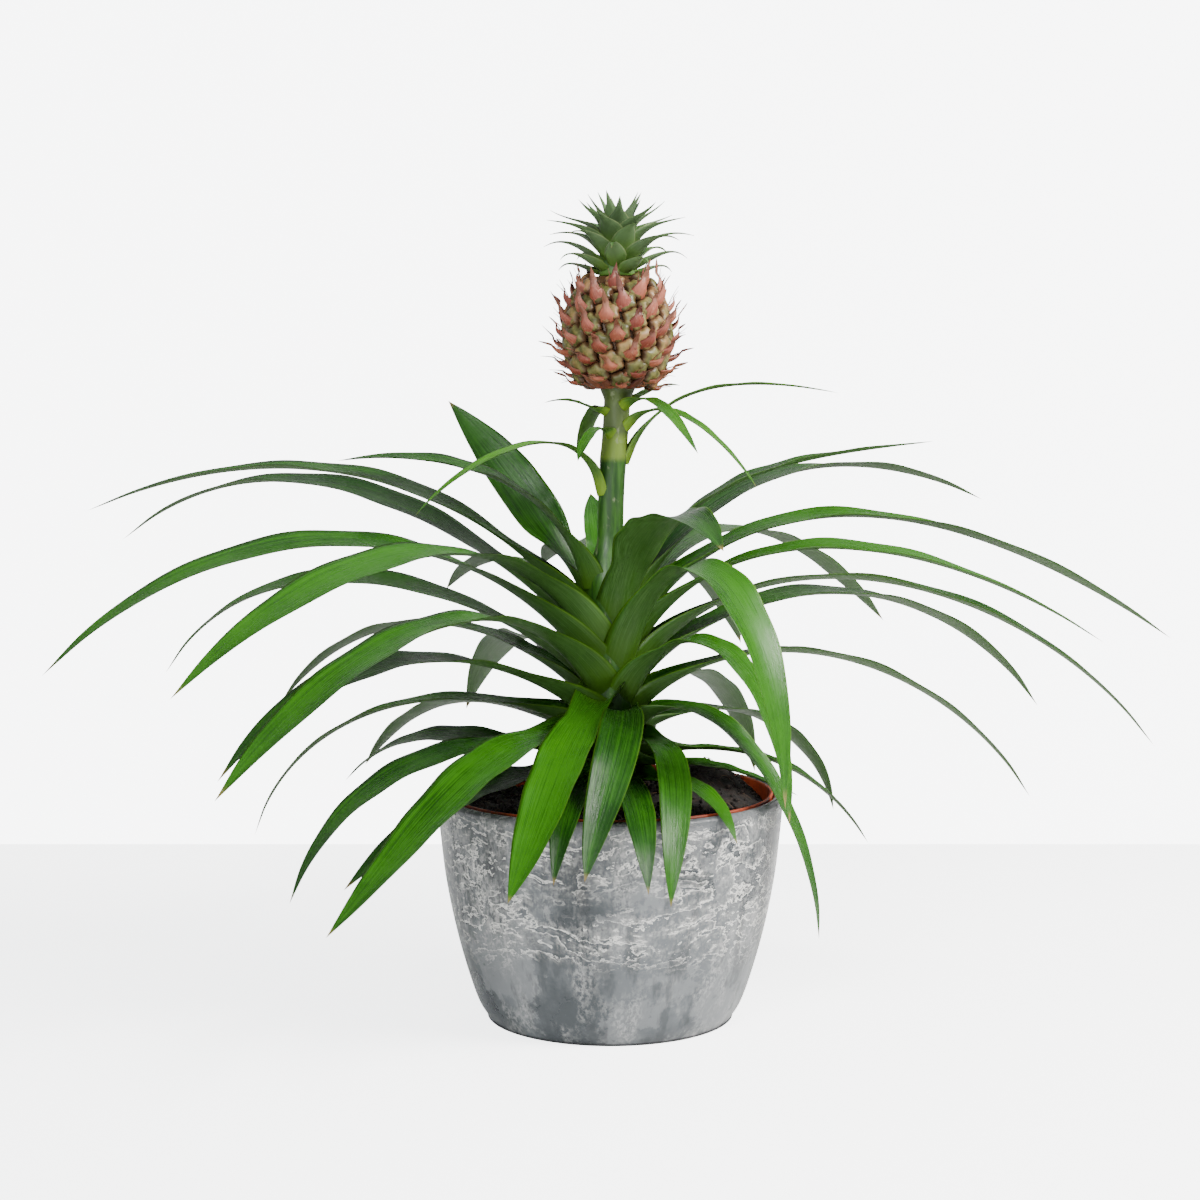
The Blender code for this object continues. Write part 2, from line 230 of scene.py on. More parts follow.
def curve(points, t):
    # Catmull-Rom curve through the points, t from 0 to 1.
    at = min(max(t, 0.0), 1.0) * (len(points) - 1)
    i = min(int(at), len(points) - 2)
    f = at - i
    p1, p2 = points[i], points[i + 1]
    p0 = points[i - 1] if i else p1 * 2 - p2
    p3 = points[i + 2] if i + 2 < len(points) else p2 * 2 - p1
    return (p1 * 2 + (p2 - p0) * f + (p0 * 2 - p1 * 5 + p2 * 4 - p3) * f * f
            + (p1 * 3 - p0 - p2 * 3 + p3) * f * f * f) / 2


leafShape = {
    "rows": 96,
    "columns": 28,
    "rootSpread": 0.8,
    "rootLength": 0.22,
    "breadth": 0.98,
    "channel": 0.20,
    "rootChannel": 0.75,
    "thick": 0.55 * mm,
    "waves": 0.04,
    "roll": math.radians(7),
    "faceFront": math.radians(7),
    "rootSink": 2.5 * mm,
}
upright = {"name": "leaf_43", "turn": math.radians(50)}


def lofted(name, shape, seed):
    # The section function of one leaf, from its CAD rings.
    rings = ringsOf(nodes[name])
    middles, lefts, rights = ([ring[i] for ring in rings] for i in range(3))
    phase = seed * 1.7
    out = (middles[-1] - middles[0]).normalized()
    leftSide = max(-out.x, 0.0) * (1 if out.y < 0.45 else 0)
    turnToFront = upright["turn"] if name == upright["name"] else shape["faceFront"] * leftSide

    def section(v):
        middle = curve(middles, v)
        across = (curve(rights, v) - curve(lefts, v)) / 2
        ahead = curve(middles, min(v + 0.01, 1.0)) - curve(middles, max(v - 0.01, 0.0))
        spread = 1 - blend(0, 1, v / shape["rootLength"])
        half = max(across.length, 0.01 * mm)
        across = across.normalized() if across.length > 1e-6 else Vector((-middle.y, middle.x, 0)).normalized()
        up = across.cross(ahead).normalized() * -1
        roll = shape["roll"] * math.sin(phase + 5 * v) * v * (1 - v) * 4
        roll -= turnToFront * blend(0, 1, (v - 0.12) / 0.3)
        across, up = across * math.cos(roll) + up * math.sin(roll), up * math.cos(roll) - across * math.sin(roll)
        width = half * shape["breadth"] * (1 + shape["rootSpread"] * spread)
        wave = shape["waves"] * math.sin(phase * 3 + v * 34) * math.sin(math.pi * v)
        depth = width * (shape["channel"] + shape["rootChannel"] * spread + wave)
        sink = ahead.normalized() * shape["rootSink"] * max(0.0, 1 - v / 0.05)
        thick = shape["thick"] * (1 - 0.6 * v) * min(1.0, half / (2 * mm)) + shape["thick"] * spread
        return middle - sink, across * width, up * max(depth, 0.001 * mm), thick
    return section


leafNames = sorted(name for name in nodes if name.startswith("leaf_"))
bractNames = sorted(name for name in nodes if name.startswith("bract_"))


def leafSkin(name, upperDark, upperLight, under, edge, root, rootReach):
    skin = Skin(name, IOR=1.42, Specular_IOR_Level=0.3)
    uv = skin.uv()
    tone = skin.value("tone")
    upper = skin.value("side")
    u, v = skin.split(uv, 0), skin.split(uv, 1)
    where = skin.place()
    fine = skin.cloud(uv.stretch(95, 2.2, 1), 1.0, 3.0, 0.6)
    broad = skin.cloud(uv.stretch(14, 2.5, 1), 1.0, 3.0, 0.6)
    patches = skin.cloud(where, 38.0, 3.0)
    shade = (fine - 0.5) * 1.3 + (broad - 0.5) * 1.1 + (patches - 0.5) * 0.9 + tone
    top = skin.mix(shade.step(0.1, 0.95), upperDark, upperLight)
    middle = (u - 0.5).math("ABSOLUTE")
    top = skin.mix(middle.step(0.0, 0.06, 0.4, 0.0), top, upperLight)
    scurf = skin.cloud(uv.stretch(60, 9, 1), 1.0, 5.0, 0.7)
    below = skin.mix(scurf.step(0.42, 0.7), under, tuple(c * 1.45 + 0.02 for c in under))
    color = skin.mix(upper, below, top)
    dots = skin.cells(where, 620.0)
    sprinkle = skin.cloud(where, 120.0, 2.0).step(0.5, 0.68)
    spots = dots.step(0.10, 0.22, 1.0, 0.0) * sprinkle
    color = skin.mix(spots * 0.75, color, tuple(c * 0.35 for c in upperDark))
    margin = middle.step(0.462, 0.492)
    color = skin.mix(margin * 0.6, color, edge)
    base = (v + (broad - 0.5) * 0.05).step(0.0, rootReach, 1.0, 0.0)
    color = skin.mix(base * 0.9, color, root)
    dry = (v + (patches - 0.5) * 0.04).step(0.965, 0.995)
    color = skin.mix(dry * 0.7, color, (0.20, 0.13, 0.05))
    rough = (fine - 0.5) * 0.35 + (patches - 0.5) * 0.25 + 0.28
    rough = rough + upper.step(0.0, 1.0, 0.18, 0.0) + spots * 0.2
    normal = skin.bump(fine + broad * 0.5, 0.5, 0.3 * mm)
    return skin.finish(color, rough, normal)


def makeLeaves():
    skin = leafSkin("leafSkin", (0.003, 0.024, 0.001), (0.019, 0.095, 0.002), (0.020, 0.060, 0.006),
                    (0.065, 0.145, 0.010), (0.030, 0.078, 0.004), 0.09)
    for index, name in enumerate(leafNames):
        bm = bmesh.new()
        tone = rng.uniform(0.2, 0.85)
        addBlade(bm, lofted(name, leafShape, index), leafShape["rows"], leafShape["columns"], tone)
        makePiece(name.replace("_", ""), bm, [skin], [name])


bractShape = dict(leafShape, rows=56, columns=20, rootSpread=0.2, rootChannel=0.6, thick=0.45 * mm, waves=0.03,
                  faceFront=0.0)


def makeBracts():
    skin = leafSkin("bractSkin", (0.008, 0.046, 0.002), (0.040, 0.150, 0.004), (0.040, 0.100, 0.010),
                    (0.14, 0.24, 0.025), (0.13, 0.22, 0.012), 0.10)
    for index, name in enumerate(bractNames):
        bm = bmesh.new()
        addBlade(bm, lofted(name, bractShape, index + 60), bractShape["rows"], bractShape["columns"],
                 rng.uniform(0.3, 0.9))
        makePiece(name.replace("_", ""), bm, [skin], [name])


# Pots: turned outlines, rounded through their points.
def turned(bm, outline, segments, fineness, wobble=None):
    points = [Vector((r, 0, z)) for r, z in outline]

    def position(a, v):
        point = curve(points, v)
        angle = -2 * math.pi * a
        radius = max(point.x, 0.0) * (1 + (wobble(angle, point.z) if wobble else 0.0))
        return Vector((radius * math.cos(angle), radius * math.sin(angle), point.z)), a, 1.0
    addGrid(bm, segments, fineness, position)


def arc(centre, radius, start, end, count):
    angles = [math.radians(start + (end - start) * i / (count - 1)) for i in range(count)]
    return [(centre[0] + radius * math.cos(a), centre[1] + radius * math.sin(a)) for a in angles]


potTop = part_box("outer_pot")[1][2]
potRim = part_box("outer_pot")[1][0]
potWall = 4.5 * mm
potSide = [(64.5, 1.5), (69.5, 10), (75.5, 28), (81, 49), (85.5, 72), (88, 92), (89.7, 110)]
lipRound = 2.5 * mm
soilLevel = 108.5 * mm


def glazeSkin():
    skin = Skin("stonewareGlaze", IOR=1.45, Specular_IOR_Level=0.3)
    where = skin.place()
    height = skin.split(where, 2)
    warp = skin.add("ShaderNodeTexNoise", {"Vector": where, "Scale": 24.0, "Detail": 4.0}, output=1)
    bent = skin.add("ShaderNodeVectorMath", {0: warp, 1: (0.03, 0.03, 0.022)}, operation="MULTIPLY")
    bent = skin.add("ShaderNodeVectorMath", {0: bent, 1: where}, operation="ADD")
    mottle = skin.cloud(where, 16.0, 8.0, 0.62)
    haze = skin.cloud(where.stretch(1, 1, 0.35), 55.0, 6.0, 0.6)
    drips = skin.cloud(where.stretch(1, 1, 0.14), 85.0, 4.0, 0.6)
    terrace = skin.cloud(bent.stretch(1, 1, 2.2), 17.0, 10.0, 0.66)
    bands = skin.cloud(where.stretch(0.35, 0.35, 1.6), 22.0, 3.0, 0.55)
    specks = skin.cloud(where.stretch(1, 1, 0.6), 520.0, 5.0, 0.7)
    blotch = skin.cloud(where, 26.0, 10.0, 0.66)
    upper = height.step(0.028, 0.062)
    zone = upper * bands.step(0.36, 0.5)
    edge = (terrace * 11.0).math("FRACT")
    veins = edge.step(0.02, 0.24, 1.0, 0.0) * edge.step(0.0, 0.02) * zone
    peel = edge.step(0.1, 0.9, 0.55, 0.0) * zone * specks.step(0.38, 0.6)
    color = skin.mix(mottle.step(0.42, 0.58), (0.040, 0.046, 0.050), (0.100, 0.109, 0.115))
    color = skin.mix(blotch.step(0.52, 0.55) * 0.6, color, (0.165, 0.172, 0.176))
    color = skin.mix(haze.step(0.46, 0.66) * specks.step(0.42, 0.60) * 0.6, color, (0.33, 0.33, 0.32))
    color = skin.mix(drips.step(0.52, 0.62) * 0.55, color, (0.032, 0.036, 0.039))
    color = skin.mix(peel, color, (0.40, 0.395, 0.375))
    color = skin.mix(veins, color, (0.68, 0.67, 0.63))
    lip = height.step(potTop - 5 * mm, potTop - 3 * mm)
    color = skin.mix(lip * 0.75, color, (0.085, 0.090, 0.093))
    # Painted shadow: a dark band along the bottom 2 mm of the pot, where it meets the floor.
    foot = height.step(0.0, 2.0 * mm, 1.0, 0.0)
    color = skin.mix(foot * 0.75, color, (0.04, 0.04, 0.04))
    rough = mottle.step(0.3, 0.7, 0.24, 0.38) + veins * 0.2 + peel * 0.2 - lip * 0.1
    relief = veins * 0.7 + edge * zone * 0.4 + haze * 0.3
    return skin.finish(color, rough, skin.bump(relief, 0.4, 0.3 * mm))


def makeOuterPot():
    side = [(r * mm, z * mm) for r, z in potSide]
    lipCentre = (potRim - lipRound, potTop - lipRound)
    lip = arc(lipCentre, lipRound, 0, 180, 7)
    inner = [(r - potWall, z) for r, z in reversed(side[2:])]
    floorTop = 6 * mm
    outline = [(0, 0), (30 * mm, 0), (61.5 * mm, 0), (63.5 * mm, 0.3 * mm)] + side + lip + inner
    outline += [(60 * mm, floorTop + 1.5 * mm), (50 * mm, floorTop), (0, floorTop)]
    bm = bmesh.new()
    turned(bm, outline, 192, 150)
    makePiece("outerPot", bm, [glazeSkin()], ["outer_pot"])


def plasticSkin():
    skin = Skin("nurseryPlastic", IOR=1.46)
    where = skin.place()
    grime = skin.cloud(where, 90.0, 6.0, 0.65)
    color = skin.mix(grime.step(0.4, 0.75), (0.27, 0.040, 0.012), (0.15, 0.028, 0.012))
    return skin.finish(color, grime.step(0.3, 0.8, 0.38, 0.6))


def makeNurseryPot():
    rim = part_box("nursery_pot")[1][0]
    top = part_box("nursery_pot")[1][2]
    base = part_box("nursery_pot")[0][2]
    foot = 58 * mm
    ledge = top - 15 * mm
    wall = 1.2 * mm
    body = rim - 3.3 * mm
    outer = [(0, base), (40 * mm, base), (foot - 2 * mm, base), (foot, base + 2 * mm), (body, ledge - 1.5 * mm),
             (body + 0.3 * mm, ledge - 1 * mm), (rim - 0.9 * mm, ledge), (rim - 0.8 * mm, ledge + 1 * mm),
             (rim - 0.2 * mm, top - 1.6 * mm)]
    lip = arc((rim - 0.8 * mm, top - 0.8 * mm), 0.8 * mm, 0, 180, 6)
    inner = [(rim - 1.7 * mm, top - 2 * mm), (rim - 2.0 * mm, ledge + 1 * mm), (body - wall, ledge - 1 * mm),
             (foot - wall, base + 3 * mm), (foot - 4 * mm, base + 1.5 * mm), (0, base + 1.5 * mm)]
    bm = bmesh.new()
    turned(bm, outer + lip + inner, 160, 110)
    makePiece("nurseryPot", bm, [plasticSkin()], ["nursery_pot"])


# Peat: a rough surface, crumbs and fibres.
mound = {"height": 19 * mm, "heading": math.radians(36), "radius": 60 * mm, "spread": 24 * mm}


def soilHeight(x, y):
    centre = Vector((math.cos(mound["heading"]), math.sin(mound["heading"]))) * mound["radius"]
    away = (Vector((x, y)) - centre).length / mound["spread"]
    rough = noise.fractal(Vector((x, y, 0)) * 90, 0.9, 2.1, 5) * 1.6 * mm
    return soilLevel + mound["height"] * math.exp(-away * away) + rough


def peatSkin():
    skin = Skin("peat")
    where = skin.place()
    coarse = skin.cloud(where, 160.0, 8.0, 0.7)
    fine = skin.cloud(where, 700.0, 4.0, 0.6)
    color = skin.mix(coarse.step(0.42, 0.66), (0.005, 0.0035, 0.0025), (0.022, 0.013, 0.008))
    color = skin.mix(fine.step(0.66, 0.74) * 0.5, color, (0.07, 0.042, 0.022))
    return skin.finish(color, fine.step(0.2, 0.8, 0.8, 1.0), skin.bump(coarse + fine * 0.4, 1.0, 1.2 * mm))


def makeSoil():
    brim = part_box("soil")[1][0] - 0.3 * mm
    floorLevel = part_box("soil")[0][2]
    bm = bmesh.new()

    def position(a, v):
        angle = 2 * math.pi * a
        if v < 0.06:
            radius = brim * 0.68 * v / 0.03 if v < 0.03 else blend(brim * 0.68, brim * 0.97, (v - 0.03) / 0.03)
            height = floorLevel if v < 0.03 else blend(floorLevel, soilLevel - 8 * mm, (v - 0.03) / 0.03)
            return Vector((radius * math.cos(angle), radius * math.sin(angle), height)), a, 1.0
        radius = brim * (1 - (v - 0.06) / 0.94)
        x, y = radius * math.cos(angle), radius * math.sin(angle)
        return Vector((x, y, soilHeight(x, y))), a, 1.0
    addGrid(bm, 220, 130, position)
    skin = peatSkin()
    makePiece("peatBed", bm, [skin], ["soil"])
    crumbs = bmesh.new()
    for _ in range(900):
        radius, angle = (brim - 2 * mm) * math.sqrt(rng.uniform(0.04, 1)), rng.uniform(0, 2 * math.pi)
        x, y = radius * math.cos(angle), radius * math.sin(angle)
        size = rng.uniform(0.6, 2.7) * mm
        turn = Matrix.Rotation(rng.uniform(0, 6), 4, Vector((rng.random(), rng.random(), 1)).normalized())
        grow = Matrix.Diagonal((size, size * rng.uniform(0.5, 0.9), size * rng.uniform(0.4, 0.8), 1))
        place = Matrix.Translation((x, y, soilHeight(x, y) + size * 0.2)) @ turn @ grow
        ball = bmesh.ops.create_icosphere(crumbs, subdivisions=1, radius=1.0, matrix=place)
        for vert in ball["verts"]:
            vert.co += noise.noise_vector(vert.co * 900) * size * 0.35
    makePiece("peatCrumbs", crumbs, [skin])
    fibres = bmesh.new()
    for index in range(170):
        radius, angle = (brim - 8 * mm) * math.sqrt(rng.uniform(0.04, 1)), rng.uniform(0, 2 * math.pi)
        start = Vector((radius * math.cos(angle), radius * math.sin(angle), 0))
        heading = rng.uniform(0, 2 * math.pi)
        length = rng.uniform(4, 11) * mm
        bend = rng.uniform(-0.9, 0.9)
        thick = rng.uniform(0.10, 0.28) * mm

        def section(v, start=start, heading=heading, length=length, bend=bend, thick=thick):
            way = heading + bend * v
            point = start + Vector((math.cos(way), math.sin(way), 0)) * length * v
            point.z = soilHeight(point.x, point.y) + 0.5 * mm + 1.2 * mm * math.sin(math.pi * v)
            across = Vector((-math.sin(way), math.cos(way), 0)) * thick * (1 - 0.6 * v)
            return point, across, Vector((0, 0, 0.02 * mm)), thick * 0.8
        addBlade(fibres, section, 10, 8, rng.random())
    bark = Skin("peatFibre")
    tone = bark.value("tone")
    makePiece("peatFibres", fibres, [bark.finish(bark.mix(tone, (0.015, 0.009, 0.005), (0.09, 0.05, 0.025)), 0.85)])


# Stem, with its drift towards +X below the fruit.
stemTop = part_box("stem")[1][2]
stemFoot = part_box("stem")[0][2]
stalkStart = 252 * mm
rosetteTop = 226 * mm
fruitLean = 3.5 * mm


def leanAt(height):
    return blend(0, fruitLean, (height - stalkStart) / (stemTop - stalkStart))


def stemSkin():
    skin = Skin("stemSkin", IOR=1.42)
    where = skin.place()
    fibres = skin.cloud(where.stretch(1, 1, 0.12), 420.0, 3.0)
    height = skin.split(where, 2)
    patches = skin.cloud(where.stretch(1, 1, 0.5), 170.0, 5.0, 0.65)
    color = skin.mix(fibres.step(0.35, 0.7), (0.007, 0.036, 0.002), (0.024, 0.085, 0.005))
    color = skin.mix(height.step(0.288, 0.292), color, (0.105, 0.165, 0.014))
    color = skin.mix(height.step(0.300, 0.305) * 0.9, color, (0.040, 0.060, 0.014))
    color = skin.mix(patches.step(0.58, 0.66) * 0.5, color, (0.20, 0.22, 0.13))
    color = skin.mix(height.step(0.115, 0.15, 1.0, 0.0) * 0.8, color, (0.12, 0.085, 0.045))
    return skin.finish(color, patches.step(0.4, 0.7, 0.42, 0.65), skin.bump(fibres + patches, 0.4, 0.3 * mm))


def makeStem():
    bm = bmesh.new()

    def position(a, v):
        height = stemFoot + (stemTop - stemFoot) * v
        radius = blend(12.8, 6.7, (height - rosetteTop) / (stalkStart - rosetteTop)) * mm
        angle = 2 * math.pi * a
        swell = 1 + 0.035 * math.sin(3 * angle + height * 60) + 0.05 * math.exp(-((height - 0.291) / 0.004) ** 2)
        flare = 1 + 0.35 * blend(0, 1, (height - stemTop + 7 * mm) / (7 * mm))
        radius *= swell * flare
        return Vector((leanAt(height) + radius * math.cos(angle), radius * math.sin(angle), height)), a, 1.0
    addGrid(bm, 48, 160, position)
    makePiece("stem", bm, [stemSkin()], ["stem"])


# Fruit: a core, spiral eyes, and the papery scale and bristles of each eye.
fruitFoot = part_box("fruit")[0][2]
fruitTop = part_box("fruit")[1][2]
fruitShape = {"radius": 26.5 * mm, "eyes": 74, "eyeWidth": 13.2 * mm, "eyeHeight": 11.6 * mm, "eyeDepth": 5.2 * mm}
goldenAngle = math.pi * (3 - math.sqrt(5))


def fruitRadius(share):
    return fruitShape["radius"] * math.sin(math.pi * (0.14 + 0.76 * share)) ** 0.55


def fruitSkin():
    skin = Skin("fruitSkin", IOR=1.42, Specular_IOR_Level=0.3)
    where = skin.place()
    rim = skin.value("side")
    tone = skin.value("tone")
    mottle = skin.cloud(where, 240.0, 5.0, 0.6)
    color = skin.mix((mottle + tone * 0.3 - 0.15).step(0.3, 0.72), (0.050, 0.050, 0.012), (0.165, 0.150, 0.045))
    color = skin.mix((tone + mottle - 0.5).step(0.55, 0.95) * 0.5, color, (0.24, 0.075, 0.040))
    # Painted shade: the eye margins, the eye backs and the core between the eyes are darkened, as shade in the
    # crevices.
    color = skin.mix(rim.step(0.72, 1.0) * 0.85, color, (0.045, 0.014, 0.008))
    return skin.finish(color, mottle.step(0.3, 0.7, 0.32, 0.5), skin.bump(mottle, 0.5, 0.4 * mm))


def scaleSkin():
    skin = Skin("fruitScale")
    uv = skin.uv()
    u, v = skin.split(uv, 0), skin.split(uv, 1)
    tone = skin.value("tone")
    streak = skin.cloud(uv.stretch(14, 2.5, 1), 1.0, 4.0, 0.6)
    speckle = skin.cloud(skin.place(), 500.0, 4.0)
    color = skin.mix((streak + tone * 0.5 - 0.25).step(0.3, 0.7), (0.150, 0.026, 0.014), (0.270, 0.075, 0.040))
    color = skin.mix(speckle.step(0.56, 0.7) * 0.35, color, (0.36, 0.19, 0.12))
    edge = (u - 0.5).math("ABSOLUTE").step(0.34, 0.5)
    color = skin.mix(edge * 0.55, color, (0.15, 0.038, 0.022))
    dried = (v + (streak - 0.5) * 0.3).step(0.42, 0.66)
    color = skin.mix(dried, color, skin.mix(tone, (0.075, 0.016, 0.010), (0.17, 0.060, 0.028)))
    return skin.finish(color, 0.5, skin.bump(streak, 0.5, 0.3 * mm))


def fruitFrame(index):
    # Place of an eye: centre on the skin, outward, upward and sideways directions.
    share = (index + 0.5) / fruitShape["eyes"]
    share = 0.05 + 0.9 * share
    angle = index * goldenAngle
    radius = fruitRadius(share)
    slope = (fruitRadius(min(share + 0.02, 1)) - fruitRadius(max(share - 0.02, 0))) / (0.04 * (fruitTop - fruitFoot))
    radial = Vector((math.cos(angle), math.sin(angle), 0))
    up = (Vector((0, 0, 1)) + radial * slope).normalized()
    side = Vector((-math.sin(angle), math.cos(angle), 0))
    centre = radial * (radius - 2.6 * mm) + Vector((fruitLean, 0, fruitFoot + (fruitTop - fruitFoot) * share))
    return share, centre, side.cross(up), up, side


def addEye(bm, index):
    share, centre, outward, up, side = fruitFrame(index)
    shrink = blend(0.72, 1.0, min(share, 1 - share) / 0.22)
    width, height = fruitShape["eyeWidth"] * shrink / 2, fruitShape["eyeHeight"] * shrink / 2
    depth = fruitShape["eyeDepth"]
    uv, rimLayer, toneLayer = layers(bm)
    tone = rng.random()
    for vert in bmesh.ops.create_icosphere(bm, subdivisions=4, radius=1.0)["verts"]:
        x, y, z = vert.co
        away = math.hypot(x, y)
        pull = 1 - 0.10 * math.cos(6 * math.atan2(y, x)) * away
        plate = max(z, 0.0) ** 0.55 - 0.10 * math.exp(-(away / 0.34) ** 2) + 0.07 * math.exp(-(away / 0.13) ** 2)
        rough = 0.05 * noise.noise(Vector((x * 3 + index, y * 3, z * 3)))
        vert.co = centre + side * x * width * pull + up * y * height * pull + outward * depth * (plate + rough)
        # Distance from the eye's centre, 1 on the back; fruitSkin darkens the high values as painted shade in the
        # crevices.
        vert[rimLayer] = min(away, 1.0) if z > 0 else 1.0
        vert[toneLayer] = tone


def addScale(bm, index):
    # A broad bract over the eye's lower half with a dried, curling point, and thin bristles beside it.
    share, centre, outward, up, side = fruitFrame(index)
    shrink = blend(0.72, 1.0, min(share, 1 - share) / 0.22)
    height = fruitShape["eyeHeight"] * shrink / 2
    for number in range(4):
        main = number == 0
        length = (rng.uniform(13.0, 16.5) * shrink if main else rng.uniform(5, 9)) * mm
        width = (rng.uniform(5.2, 6.0) * shrink if main else rng.uniform(0.4, 0.75)) * mm
        offset = 0.0 if main else rng.uniform(-2.6, 2.6) * mm
        depth = (2.2 if main else 4.2) * mm
        start = centre + outward * depth - up * (height * (0.95 if main else 0.3)) + side * offset
        lift = rng.uniform(0.48, 0.72) if main else rng.uniform(0.6, 1.1)
        out = (outward * lift + up * rng.uniform(0.7, 0.9) + side * rng.uniform(-0.22, 0.22)).normalized()
        curl = outward * rng.uniform(0.2, 0.75) + up * rng.uniform(-0.25, 0.5) + side * rng.uniform(-0.45, 0.45)
        curl = curl * length * 0.5
        bulge = outward * (2.6 * mm if main else 0.0)
        twist = rng.uniform(-1.4, 1.4)

        def section(v, start=start, out=out, curl=curl, length=length, width=width, bulge=bulge, twist=twist,
                    main=main):
            tail = max(v - 0.35, 0.0) / 0.65
            point = start + out * length * v + curl * tail * tail + bulge * math.sin(math.pi * min(v / 0.7, 1.0))
            ahead = (out * length + curl * 2 * tail).normalized()
            across = (side - ahead * ahead.dot(side)).normalized()
            normal = ahead.cross(across).normalized() * -1
            angle = twist * tail * tail
            across, normal = (across * math.cos(angle) + normal * math.sin(angle),
                              normal * math.cos(angle) - across * math.sin(angle))
            taper = (1 - blend(0, 0.70, v / 0.6)) * (1 - max(v - 0.75, 0) / 0.25 * 0.9) if main else 1 - 0.9 * v
            bend = -0.55 * (1 - tail) if main else -0.2
            return point, across * width * taper, normal * width * bend * taper, 0.26 * mm * (1 - 0.6 * v)
        addBlade(bm, section, 26 if main else 10, 16 if main else 6, rng.random())


def addCollar(bm):
    # Flat papery bracts that close the fruit's underside.
    for index in range(13):
        angle = 2 * math.pi * index / 13 + rng.uniform(-0.1, 0.1)
        ray = Vector((math.cos(angle), math.sin(angle), 0))
        side = Vector((-math.sin(angle), math.cos(angle), 0))
        start = ray * 6.0 * mm + Vector((fruitLean, 0, fruitFoot - 0.5 * mm))
        reach, rise = rng.uniform(15, 19) * mm, rng.uniform(4.5, 8.5) * mm

        def section(v, ray=ray, side=side, start=start, reach=reach, rise=rise):
            point = start + ray * reach * v + Vector((0, 0, rise * v * v - 1.2 * mm * math.sin(math.pi * v)))
            taper = (0.7 + 0.3 * v) * (1 - max(v - 0.5, 0.0) ** 1.5 * 2.7)
            lift = Vector((0, 0, 1)) - ray * 0.5 * v
            return point, side * 4.6 * mm * max(taper, 0.03), lift * 1.2 * mm * max(taper, 0.03), 0.25 * mm
        addBlade(bm, section, 16, 12, rng.random())


def makeFruit():
    core = bmesh.new()

    def position(a, v):
        share = min(max((v - 0.06) / 0.88, 0.0), 1.0)
        radius = fruitRadius(share) - 2.0 * mm
        if v < 0.06 or v > 0.94:
            radius *= min(v, 1 - v) / 0.06
        angle = 2 * math.pi * a
        height = fruitFoot + (fruitTop - fruitFoot) * share
        return Vector((fruitLean + radius * math.cos(angle), radius * math.sin(angle), height)), a, 1.0
    addGrid(core, 64, 48, position)
    skin = fruitSkin()
    makePiece("fruitCore", core, [skin], ["fruit"])
    eyes = bmesh.new()
    scales = bmesh.new()
    for index in range(fruitShape["eyes"]):
        addEye(eyes, index)
        addScale(scales, index)
    addCollar(scales)
    makePiece("fruitEyes", eyes, [skin])
    makePiece("fruitScales", scales, [scaleSkin()])


# Crown: a spiral of short leaves, spreading below and upright on top.
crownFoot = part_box("crown")[0][2]
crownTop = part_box("crown")[1][2]
crownShape = {"leaves": 36, "core": 9.5 * mm, "coreHeight": 25 * mm, "reach": 41 * mm}


def crownSkin():
    skin = Skin("crownSkin", IOR=1.4)
    uv = skin.uv()
    u, v = skin.split(uv, 0), skin.split(uv, 1)
    upper, tone = skin.value("side"), skin.value("tone")
    streak = skin.cloud(uv.stretch(40, 2, 1), 1.0, 4.0)
    color = skin.mix((streak + tone * 0.5 - 0.25).step(0.25, 0.8), (0.012, 0.045, 0.008), (0.045, 0.110, 0.022))
    color = skin.mix(upper.step(0.0, 1.0, 0.45, 0.0), color, (0.10, 0.145, 0.070))
    color = skin.mix((u - 0.5).math("ABSOLUTE").step(0.43, 0.49) * 0.7, color, (0.16, 0.21, 0.085))
    color = skin.mix(v.step(0.0, 0.35, 0.7, 0.0), color, (0.080, 0.170, 0.012))
    color = skin.mix(v.step(0.93, 1.0) * 0.6, color, (0.25, 0.15, 0.08))
    return skin.finish(color, streak.step(0.3, 0.7, 0.42, 0.6), skin.bump(streak, 0.3, 0.2 * mm))


def crownPath(share, angle):
    # Bezier points of one crown leaf: share is 0 for the lowest leaf and 1 for the topmost.
    level = crownFoot + crownShape["coreHeight"] * share ** 1.1
    root = crownShape["core"] * (1 - 0.45 * share)
    reach = crownShape["reach"] * blend(0.84, 1.04, share / 0.35) * blend(1.0, 0.26, (share - 0.45) / 0.55)
    reach *= rng.uniform(0.88, 1.0)
    tall = crownTop - crownFoot
    tip = crownFoot + tall * blend(0.06, 1.0, share ** 0.75) * rng.uniform(0.96, 1.0)
    rise = math.radians(blend(15, 86, share ** 0.75))
    fall = math.radians(blend(-50, 70, share))
    length = math.hypot(reach - root, tip - level)
    flat = [Vector((root, level)), Vector((root, level)) + Vector((math.cos(rise), math.sin(rise))) * length * 0.45,
            Vector((reach, tip)) - Vector((math.cos(fall), math.sin(fall))) * length * 0.4, Vector((reach, tip))]
    ray = Vector((math.cos(angle), math.sin(angle), 0))
    return [Vector((fruitLean, 0, p.y)) + ray * p.x for p in flat]


